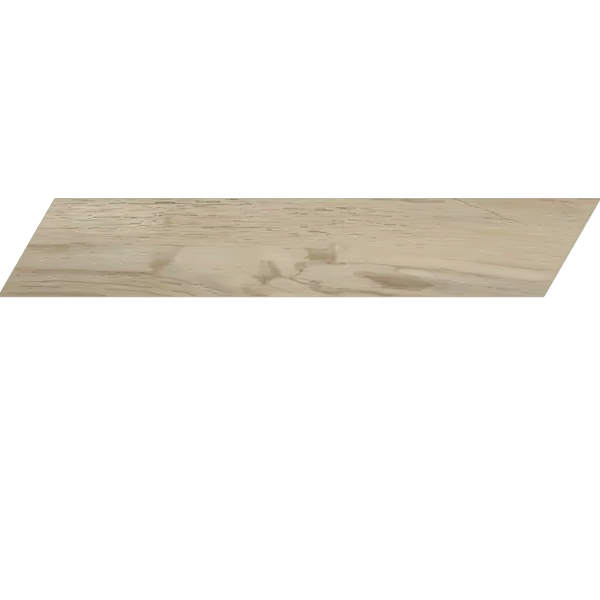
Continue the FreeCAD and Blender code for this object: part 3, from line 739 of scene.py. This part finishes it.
def grain_flow(x, y):
    """How far across the grain each place lies, so that a fibre keeps one value all along."""
    xs = np.arange(-GRAIN_BEYOND, PHOTO_SIZE + GRAIN_BEYOND + 1, GRAIN_STEP)
    kernel = np.hanning(2 * GRAIN_SMOOTHING + 1)
    kernel /= kernel.sum()
    lines = []
    for points in GRAIN_LINES:
        heights = np.pad(np.interp(xs, *zip(*points)), GRAIN_SMOOTHING, mode="edge")
        heights = np.convolve(heights, kernel, mode="valid")
        lines.append((np.interp(x, xs, heights), heights.mean()))
    top, top_value = lines[0]
    flow = top_value + y - top
    for (upper, upper_value), (lower, lower_value) in zip(lines, lines[1:]):
        share = (y - upper) / (lower - upper)
        flow = np.where(share >= 0, upper_value + share * (lower_value - upper_value), flow)
    return flow


class Picture:
    """The printed wood over a grid of places, given in the photograph's pixels."""

    def __init__(self, x, y):
        self.x, self.y = x, y
        self.rng = np.random.default_rng(SEED)
        self.flow = grain_flow(x, y)
        level, red, yellow = GROUND
        self.shifted_x = x + self.noises(SHIFT_ALONG)
        self.shifted_y = y + self.noises(SHIFT_ACROSS)
        self.wavy_y = y + self.noises(WAVES)
        self.beads = 1 + self.noises(BEADS)
        self.frays = self.noises(FRAYS)
        self.level = np.full(x.shape, level)
        self.red = red + self.noises(TINTS)
        self.yellow = yellow + self.noises(TINTS)
        self.fibres = np.zeros(x.shape)
        self.busy = np.full(x.shape, LEAST_BUSY)

    def noise(self, length, width):
        """Random field in cells stretched along the grain, sizes in pixels."""
        return value_noise(self.rng, self.x, self.flow, length, width)

    def noises(self, scales):
        """The sum of several such fields."""
        return sum(strength * self.noise(length, width) for strength, length, width in scales)

    def rows(self, points, above, below):
        """The rows of the grid between so far above the points and so far below them."""
        heights = [y for _, y in points]
        low, high = min(heights) - above, max(heights) + below
        found = np.flatnonzero((self.y[:, 0] > low) & (self.y[:, 0] < high))
        return slice(found[0], found[-1] + 1) if len(found) else slice(0, 0)

    def tint(self, where, weight, level, red, yellow):
        """Adds to the three fields of the shapes, by weight."""
        self.level[where] += weight * level
        self.red[where] += weight * red
        self.yellow[where] += weight * yellow

    def washes(self):
        """Wide soft ellipses."""
        for *place, level, red, yellow in WASHES:
            weight = ellipse(self.shifted_x, self.shifted_y, *place)
            self.tint(slice(None), weight, level, red, yellow)

    def patches(self):
        """Outlines filled in, with frayed edges; they shift half as far as the washes."""
        for outline, softness, level, red, yellow in PATCHES:
            margin = 2 * softness + PATCH_MARGIN
            where = self.rows(outline, margin, margin)
            x = (self.x[where] + self.shifted_x[where]) / 2
            y = (self.y[where] + self.shifted_y[where]) / 2
            reach = line_distance(x, y, outline + outline[:1])
            depth = np.where(inside(x, y, outline), reach, -reach) + self.frays[where]
            self.tint(where, smooth(0.5 + depth / (2 * softness)), level, red, yellow)

    def bands(self):
        """Lines that fade unlike on their two sides."""
        for points, above, below, level, red, yellow in BANDS:
            where = self.rows(points, BAND_MARGIN * above, BAND_MARGIN * below)
            x = self.shifted_x[where]
            offset = self.wavy_y[where] - np.interp(x, *zip(*points))
            weight = bell(offset / np.where(offset < 0, above, below))
            ends = smooth((x - points[0][0]) / BAND_FADE) * smooth((points[-1][0] - x) / BAND_FADE)
            self.tint(where, weight * ends, level, red, yellow)

    def line(self, points, width, level):
        """One fibre, with a faint halo of the other sign at its sides."""
        where = self.rows(points, LINE_MARGIN * width, LINE_MARGIN * width)
        reach = LEAST_REACH + REACH_BY_WIDTH * width
        distance = line_distance(self.x[where], self.wavy_y[where], points) / reach
        profile = bell(distance) - HALO * bell(distance - HALO_PLACE)
        self.fibres[where] += LINE_STRENGTH * level * profile * self.beads[where]

    def lines(self):
        """Every line that was read off the photograph."""
        for width, dashes in DASHES.items():
            for x0, x1, y, level in dashes:
                self.line(((x0, y), (x1, y)), width, level)
        for width, strokes in STROKES.items():
            for x0, y0, x1, y1, level in strokes:
                self.line(((x0, y0), (x1, y1)), width, level)
        for points, width, level in LONG_LINES:
            self.line(points, width, level)

    def scatter(self):
        """Random fibres, dark and light, that follow the grain."""
        for x, y, pick, length, width, strength in self.rng.uniform(0, 1, (SCATTER, 6)):
            x, y = x * PHOTO_SIZE, PHOTO_CENTRE[1] + (y - 0.5) * PHOTO_WIDTH
            half = SCATTER_HALF[0] + SCATTER_HALF[1] * length**2
            reach = SCATTER_REACH[0] + SCATTER_REACH[1] * width
            strength = SCATTER_STRENGTH[0] + SCATTER_STRENGTH[1] * strength
            i = np.unravel_index(np.argmin(abs(self.x - x) + abs(self.y - y)), self.x.shape)
            level = self.busy[i] * strength * (DARK_FIBRE if pick < SCATTER_DARK else LIGHT_FIBRE)
            if abs(level) < FAINTEST:
                continue
            where = self.rows([(x, y)], SCATTER_WANDER, SCATTER_WANDER)
            across = (self.flow[where] - self.flow[i]) / reach
            along = abs(self.x[where] - x) / half
            self.fibres[where] += level * bell(across) * smooth(SCATTER_FADE * (1 - along))

    def grain(self):
        """Fine random grain at the scale of the grid: dark lines on a lighter ground."""
        for length, width, strength, quiet in GRAIN_SCALES:
            noise = self.noise(length, width)
            noise = np.where(noise > 0, GRAIN_LIGHT * noise, noise)
            self.fibres += noise * strength * (quiet + (1 - quiet) * self.busy)

    def border(self):
        """Darker or paler strips along the face's edges, and less red."""
        for points, reach, level, red, yellow in EDGE_LINES:
            weight = bell(line_distance(self.x, self.y, points) / reach)
            self.tint(slice(None), weight, level, red, yellow)

    def paint(self):
        """Lays everything down. The random draws keep this order."""
        for *place, weight in BUSY:
            self.busy += weight * ellipse(self.x, self.y, *place)
        self.busy = np.clip(self.busy, 0, 1)
        self.washes()
        self.patches()
        self.bands()
        self.lines()
        self.scatter()
        self.grain()
        self.border()

    def relief(self):
        """How far each place lies below the highest one."""
        height = FIBRE_RELIEF * np.clip(self.fibres, *FIBRE_RANGE)
        height += SHAPE_RELIEF * np.clip(self.level, *SHAPE_RANGE)
        return height - height.max()


# ---- Mesh ----


def face_grid():
    """Places of the face's grid points: rows from the low side up, columns parallel to the ends."""
    along, across = np.meshgrid(
        np.linspace(-FACE_ALONG, FACE_ALONG, COLUMNS + 1),
        np.linspace(-FACE_ACROSS, FACE_ACROSS, ROWS + 1),
    )
    return along + across * LEAN, across


def ring():
    """Grid points round the face's border, its four sides in turn, counterclockwise from above."""
    low = [(0, i) for i in range(COLUMNS + 1)]
    right = [(j, COLUMNS) for j in range(ROWS + 1)]
    high = [(ROWS, i) for i in range(COLUMNS, -1, -1)]
    left = [(j, 0) for j in range(ROWS, -1, -1)]
    return low, right, high, left


def cad_back():
    """The CAD node's back: its points, its triangles, and which points lie on its rim."""
    shell = bmesh.new()
    shell.from_mesh(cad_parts[NODE].data)
    bmesh.ops.remove_doubles(shell, verts=shell.verts, dist=MERGED)
    side_top = THICKNESS - ARRIS
    cut = [f for f in shell.faces if max(v.co.z for v in f.verts) > side_top - NEAR]
    bmesh.ops.delete(shell, geom=cut, context="FACES")
    shell.verts.index_update()
    points = [v.co.copy() for v in shell.verts]
    triangles = [[v.index for v in f.verts] for f in shell.faces]
    rim = [v.index for v in shell.verts if v.is_boundary]
    shell.free()
    return points, triangles, rim


def add_outline(points, sides, x, y):
    """Adds the outline under the arris, a point for each of the face's border; returns which."""
    outline = {}
    for place in (place for side in sides for place in side):
        if place not in outline:
            outline[place] = len(points)
            across = y[place] * HALF_ACROSS / FACE_ACROSS
            along = (x[place] - y[place] * LEAN) * HALF_ALONG / FACE_ALONG
            points.append([along + across * LEAN, across, THICKNESS - ARRIS])
    return outline


def rim_under(points, upper, back_points, rim):
    """The points of the back's rim under that stretch of the outline, from its start to its end."""
    start, end = (np.array(points[i][:2]) for i in (upper[0], upper[-1]))
    direction = (end - start) / np.linalg.norm(end - start)
    outward = np.array([direction[1], -direction[0]])
    offsets = {v: np.array(back_points[v][:2]) - start for v in rim}
    lower = [v for v in rim if abs(offsets[v] @ outward) < NEAR]
    return sorted(lower, key=lambda v: offsets[v] @ direction)


def build_tile():
    """One closed mesh: the fine face, the arris round it, the sides and the CAD node's back."""
    x, y = face_grid()
    picture = Picture(PHOTO_CENTRE[0] + x / PIXEL, PHOTO_CENTRE[1] - y / PIXEL)
    picture.paint()
    z = THICKNESS + picture.relief()

    points = np.column_stack([x.ravel(), y.ravel(), z.ravel()]).tolist()
    index = np.arange(x.size).reshape(x.shape)
    quads = np.stack([index[:-1, :-1], index[:-1, 1:], index[1:, 1:], index[1:, :-1]], -1)
    faces = quads.reshape(-1, 4).tolist()
    kinds = ["face"] * len(faces)

    sides = ring()
    outline = add_outline(points, sides, x, y)
    for side in sides:
        for a, b in zip(side, side[1:]):
            faces.append([int(index[a]), outline[a], outline[b], int(index[b])])
            kinds.append("arris")

    back_points, triangles, rim = cad_back()
    start = len(points)
    for side in sides:
        upper = [outline[place] for place in side]
        lower = rim_under(points, upper, back_points, rim)
        faces.append([start + v for v in lower] + upper[::-1])
        kinds.append("side")
    points += [list(p) for p in back_points]
    faces += [[start + v for v in triangle] for triangle in triangles]
    kinds += ["back"] * len(triangles)

    mesh = bpy.data.meshes.new("fired_tile")
    mesh.from_pydata(points, [], faces)
    add_fields(mesh, picture, outline)
    dress(mesh, kinds)
    return add_object("fired_tile", mesh)


def add_fields(mesh, picture, outline):
    """Carries the picture's fields on the mesh, and on to the outline under the arris."""
    fields = {
        "print_level": picture.level + picture.fibres,
        "print_red": picture.red,
        "print_yellow": picture.yellow,
        "print_busy": picture.busy,
        "print_flow": picture.flow * PIXEL,
    }
    for name, field in fields.items():
        values = np.zeros(len(mesh.vertices), np.float32)
        values[: field.size] = field.ravel()
        for place, vertex in outline.items():
            values[vertex] = field[place]
        attribute = mesh.attributes.new(name, "FLOAT", "POINT")
        attribute.data.foreach_set("value", values)


def dress(mesh, kinds):
    """Materials by the kind of face, a smooth printed face and crisp edges."""
    slots = {"face": 0, "arris": 1, "side": 1, "back": 2}
    for make in (printed_face, ground_body, pressed_back):
        mesh.materials.append(make())
    mesh.polygons.foreach_set("material_index", [slots[kind] for kind in kinds])
    mesh.polygons.foreach_set("use_smooth", [kind == "face" for kind in kinds])

    loose = bmesh.new()
    loose.from_mesh(mesh)
    for edge in loose.edges:
        if len({kinds[f.index] for f in edge.link_faces}) > 1:
            edge.smooth = False
    loose.to_mesh(mesh)
    loose.free()
    mesh.update()


# ---- Materials ----

# The lowest level that the pigments tell apart, and how many levels there are from it up
LEVEL_LOW = -100
LEVEL_SPAN = 160

# Pigments from the deepest brown to cream, by level
PIGMENTS = (
    (-100, (82, 64, 38)),
    (-60, (126, 110, 82)),
    (-30, (156, 142, 115)),
    (0, (187, 173, 149)),
    (20, (207, 194, 170)),
    (50, (232, 222, 204)),
)

# What one step of redness or yellowness does to red, green and blue, as a share of them
RED_SHIFT = (0.0080, -0.0070, 0.0)
YELLOW_SHIFT = (0.0, -0.0045, -0.0150)

# The bare body's colours by the sum of its noises, on the ground edges and on the pressed back
EDGE_COLOURS = (
    (0.0, (128, 116, 96)),
    (0.35, (160, 149, 128)),
    (0.6, (177, 166, 146)),
    (1.0, (205, 196, 178)),
)
BACK_COLOURS = (
    (0.0, (138, 122, 100)),
    (0.4, (172, 158, 135)),
    (0.65, (193, 182, 162)),
    (1.0, (220, 213, 199)),
)

# Fibres finer than the grid: how much of them every place has, and how deep one lies by its level,
# against a pore's 1
FIBRE_EVERYWHERE = 0.25
FIBRE_DEPTH = 0.04


def linear(red, green, blue):
    """A colour as seen on the screen, 0 to 255, in the linear values that nodes use."""
    values = [c / 255 for c in (red, green, blue)]
    return [c / 12.92 if c <= 0.04045 else ((c + 0.055) / 1.055) ** 2.4 for c in values] + [1.0]


class Nodes:
    """The node tree of a material or a world, with short ways to add to it."""

    def __init__(self, owner, end="Principled BSDF"):
        owner.use_nodes = True
        self.owner = owner
        self.tree = owner.node_tree
        self.end = self.tree.nodes[end]

    def add(self, kind, inputs, **settings):
        """A new node, with values or other nodes' outputs for its inputs."""
        node = self.tree.nodes.new("ShaderNode" + kind)
        for name, value in settings.items():
            setattr(node, name, value)
        self.feed(node, inputs)
        return node

    def feed(self, node, inputs):
        """Sets or links each of the inputs."""
        for key, value in inputs.items():
            if isinstance(value, bpy.types.NodeSocket):
                self.tree.links.new(value, node.inputs[key])
            else:
                node.inputs[key].default_value = value

    def place(self):
        """Where on the object, in metres."""
        return self.add("TexCoord", {}).outputs["Object"]

    def part(self, vector, axis):
        """One axis of a vector."""
        return self.add("SeparateXYZ", {0: vector}).outputs[axis]

    def joined(self, x, y=0.0, z=0.0):
        """A vector from its parts."""
        return self.add("CombineXYZ", {"X": x, "Y": y, "Z": z}).outputs[0]

    def attribute(self, name):
        """One of the mesh's fields."""
        return self.add("Attribute", {}, attribute_name=name).outputs["Fac"]

    def math(self, operation, *values):
        """A sum, product or the like of numbers."""
        return self.add("Math", dict(enumerate(values)), operation=operation).outputs[0]

    def vector(self, operation, *values):
        """The same of vectors."""
        return self.add("VectorMath", dict(enumerate(values)), operation=operation).outputs[0]

    def total(self, first, *others):
        """The sum of any number of values."""
        for other in others:
            first = self.math("ADD", first, other)
        return first

    def between(self, share, low, high):
        """The low number where the share is 0, the high one where it is 1."""
        return self.math("MULTIPLY_ADD", share, high - low, low)

    def rise(self, value, low, high):
        """0 up to the low number, 1 from the high one on."""
        inputs = {"Value": value, "From Min": low, "From Max": high}
        return self.add("MapRange", inputs).outputs[0]

    def noise(self, place, cells, detail=3.0, roughness=0.5):
        """Noise from 0 to 1, with so many cells to the metre: a number, or one for each axis."""
        if isinstance(cells, tuple):
            place, cells = self.vector("MULTIPLY", place, cells), 1.0
        inputs = {"Vector": place, "Scale": cells, "Detail": detail, "Roughness": roughness}
        return self.add("TexNoise", inputs).outputs["Fac"]

    def centred(self, noise, strength):
        """Noise moved to lie around 0, and scaled."""
        return self.math("MULTIPLY", self.math("SUBTRACT", noise, 0.5), strength)

    def ramp(self, value, stops):
        """A colour by value, from stops with colours as seen on the screen."""
        node = self.add("ValToRGB", {"Fac": value})
        elements = node.color_ramp.elements
        while len(elements) < len(stops):
            elements.new(0.5)
        for element, (position, colour) in zip(elements, stops):
            element.position, element.color = position, linear(*colour)
        return node.outputs["Color"]

    def finish(self, colour, roughness, specular, height, distance, strength):
        """Feeds the shader, with the height as a bump; returns the material."""
        bump = self.add("Bump", {"Height": height, "Distance": distance, "Strength": strength})
        self.feed(self.end, {
            "Base Color": colour,
            "Roughness": roughness,
            "Specular IOR Level": specular,
            "Normal": bump.outputs["Normal"],
        })
        return self.owner


def printed_face():
    """The print and its matt glaze: pigment by level and tint, with grain finer than the grid."""
    nodes = Nodes(bpy.data.materials.new("printed_face"))
    place = nodes.place()
    busy = nodes.attribute("print_busy")
    along_grain = nodes.joined(nodes.part(place, "X"), nodes.attribute("print_flow"))

    fibre = nodes.centred(nodes.noise(along_grain, cells=(45, 1500, 1)), strength=14.0)
    pores = nodes.noise(along_grain, cells=(190, 2600, 1), detail=2.0)
    pores = nodes.rise(pores, low=0.6, high=0.74)
    speckle = nodes.centred(nodes.noise(place, cells=2600.0, detail=2.0), strength=7.0)
    busy_fibre = nodes.math("MULTIPLY", fibre, nodes.math("ADD", busy, FIBRE_EVERYWHERE))
    busy_pores = nodes.math("MULTIPLY", pores, nodes.between(busy, low=0.0, high=-14.0))

    level = nodes.total(nodes.attribute("print_level"), speckle, busy_fibre, busy_pores)
    share = nodes.rise(level, LEVEL_LOW, LEVEL_LOW + LEVEL_SPAN)
    stops = [((value - LEVEL_LOW) / LEVEL_SPAN, colour) for value, colour in PIGMENTS]
    colour = nodes.ramp(share, stops)
    tint = (1, 1, 1)
    for name, shift in (("print_red", RED_SHIFT), ("print_yellow", YELLOW_SHIFT)):
        amount = nodes.attribute(name)
        amount = nodes.joined(amount, amount, amount)
        tint = nodes.vector("MULTIPLY_ADD", amount, shift, tint)
    sheen = nodes.noise(along_grain, cells=(60, 900, 1))
    return nodes.finish(
        colour=nodes.vector("MULTIPLY", colour, tint),
        roughness=nodes.total(
            nodes.between(sheen, low=0.5, high=0.66),
            nodes.between(pores, low=0.0, high=0.12),
        ),
        specular=0.35,
        height=nodes.math("SUBTRACT", nodes.math("MULTIPLY", fibre, FIBRE_DEPTH), pores),
        distance=0.04 * MM,
        strength=0.5,
    )


def ground_body():
    """The bare body on the sawn and ground edges: fine speckle and the marks of the wheel."""
    nodes = Nodes(bpy.data.materials.new("ground_body"))
    place = nodes.place()
    wheel = nodes.noise(place, cells=(12, 12, 5200), detail=2.0)
    speckle = nodes.noise(place, cells=2400.0, roughness=0.7)
    cloud = nodes.noise(place, cells=70.0, detail=2.0)
    value = nodes.total(
        nodes.centred(wheel, strength=0.25),
        nodes.centred(speckle, strength=0.7),
        nodes.centred(cloud, strength=0.4),
        0.5,
    )
    return nodes.finish(
        colour=nodes.ramp(value, EDGE_COLOURS),
        roughness=nodes.between(speckle, low=0.6, high=0.8),
        specular=0.3,
        height=nodes.math("ADD", wheel, speckle),
        distance=0.03 * MM,
        strength=0.6,
    )


def pressed_back():
    """The pressed back: bare body, with the pale release wash of the kiln rubbed off its ribs."""
    nodes = Nodes(bpy.data.materials.new("pressed_back"))
    place = nodes.place()
    speckle = nodes.noise(place, cells=1500.0, detail=4.0, roughness=0.7)
    cloud = nodes.noise(place, cells=(30, 60, 60), detail=4.0)
    sunk = nodes.rise(nodes.part(place, "Z"), low=0.1 * MM, high=0.5 * MM)
    value = nodes.total(
        nodes.centred(speckle, strength=0.5),
        nodes.centred(cloud, strength=0.8),
        nodes.between(sunk, low=0.42, high=0.64),
    )
    return nodes.finish(
        colour=nodes.ramp(value, BACK_COLOURS),
        roughness=nodes.between(speckle, low=0.7, high=0.9),
        specular=0.3,
        height=speckle,
        distance=0.08 * MM,
        strength=0.6,
    )


# ---- Stage ----

# Lengths in metres, the sensor in millimetres and the lamp's power in watts
CAMERA_HEIGHT = 5.0
CAMERA_CLIP = (0.1, 100.0)
SENSOR = 36.0
WHITE = (1, 1, 1, 1)
WORLD_LIGHT = 0.55
LAMP_POWER = 50.0
LAMP_PLACE = (-0.4, 1.1, 3.0)
LAMP_SIDE = 2.6
FLOOR_SIDE = 14.0
FLOOR_COLOUR = (0.82, 0.82, 0.82, 1)
FLOOR_ROUGHNESS = 0.9
FLOOR_GLOW = 0.6


def add_object(name, data):
    """A new object of the scene."""
    item = bpy.data.objects.new(name, data)
    bpy.context.scene.collection.objects.link(item)
    return item


def seen_directly(nodes):
    """1 for what the camera sees, directly, in a reflection or through glass; 0 for light cast."""
    rays = nodes.add("LightPath", {}).outputs
    seen = nodes.math("MAXIMUM", rays["Is Camera Ray"], rays["Is Glossy Ray"])
    return nodes.math("MAXIMUM", seen, rays["Is Transmission Ray"])


def make_world():
    """White to look at, and a softer even light on the object."""
    world = bpy.data.worlds.new("studio")
    bpy.context.scene.world = world
    nodes = Nodes(world, "Background")
    strength = nodes.between(seen_directly(nodes), low=WORLD_LIGHT, high=1)
    nodes.feed(nodes.end, {"Color": WHITE, "Strength": strength})


def make_floor():
    """A white floor that keeps the tile's shadow."""
    corner = FLOOR_SIDE / 2
    mesh = bpy.data.meshes.new("floor")
    mesh.from_pydata(
        [(-corner, -corner, 0), (corner, -corner, 0), (corner, corner, 0), (-corner, corner, 0)],
        [],
        [(0, 1, 2, 3)],
    )
    nodes = Nodes(bpy.data.materials.new("floor_white"))
    nodes.feed(nodes.end, {
        "Base Color": FLOOR_COLOUR,
        "Roughness": FLOOR_ROUGHNESS,
        "Specular IOR Level": 0.0,
        "Emission Color": WHITE,
        "Emission Strength": nodes.math("MULTIPLY", seen_directly(nodes), FLOOR_GLOW),
    })
    mesh.materials.append(nodes.owner)
    floor = add_object("floor", mesh)


def make_lamp():
    """One large soft lamp, above the upper left of the picture."""
    data = bpy.data.lights.new("softbox", "AREA")
    data.shape = "SQUARE"
    data.size = LAMP_SIDE
    data.energy = LAMP_POWER
    lamp = add_object("softbox", data)
    lamp.location = LAMP_PLACE
    lamp.rotation_euler = (-lamp.location).to_track_quat("-Z", "Y").to_euler()


def make_camera():
    """Straight down, from far off, on the middle of the photograph's frame."""
    data = bpy.data.cameras.new("camera")
    data.sensor_width = SENSOR
    data.lens = SENSOR * CAMERA_HEIGHT / (PHOTO_SIZE * PIXEL)
    data.clip_start, data.clip_end = CAMERA_CLIP
    camera = add_object("camera", data)
    middle = PHOTO_SIZE / 2
    camera.location = (
        (middle - PHOTO_CENTRE[0]) * PIXEL,
        (PHOTO_CENTRE[1] - middle) * PIXEL,
        THICKNESS + CAMERA_HEIGHT,
    )
    bpy.context.scene.camera = camera


def main():
    """The stage, and the tile as the one piece that stands in for the CAD node."""
    make_camera()
    make_world()
    make_floor()
    make_lamp()
    tile = build_tile()
    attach(tile, "root")
    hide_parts(NODE)
    bpy.context.scene.view_settings.view_transform = "Standard"


main()
bpy.context.view_layer.update()
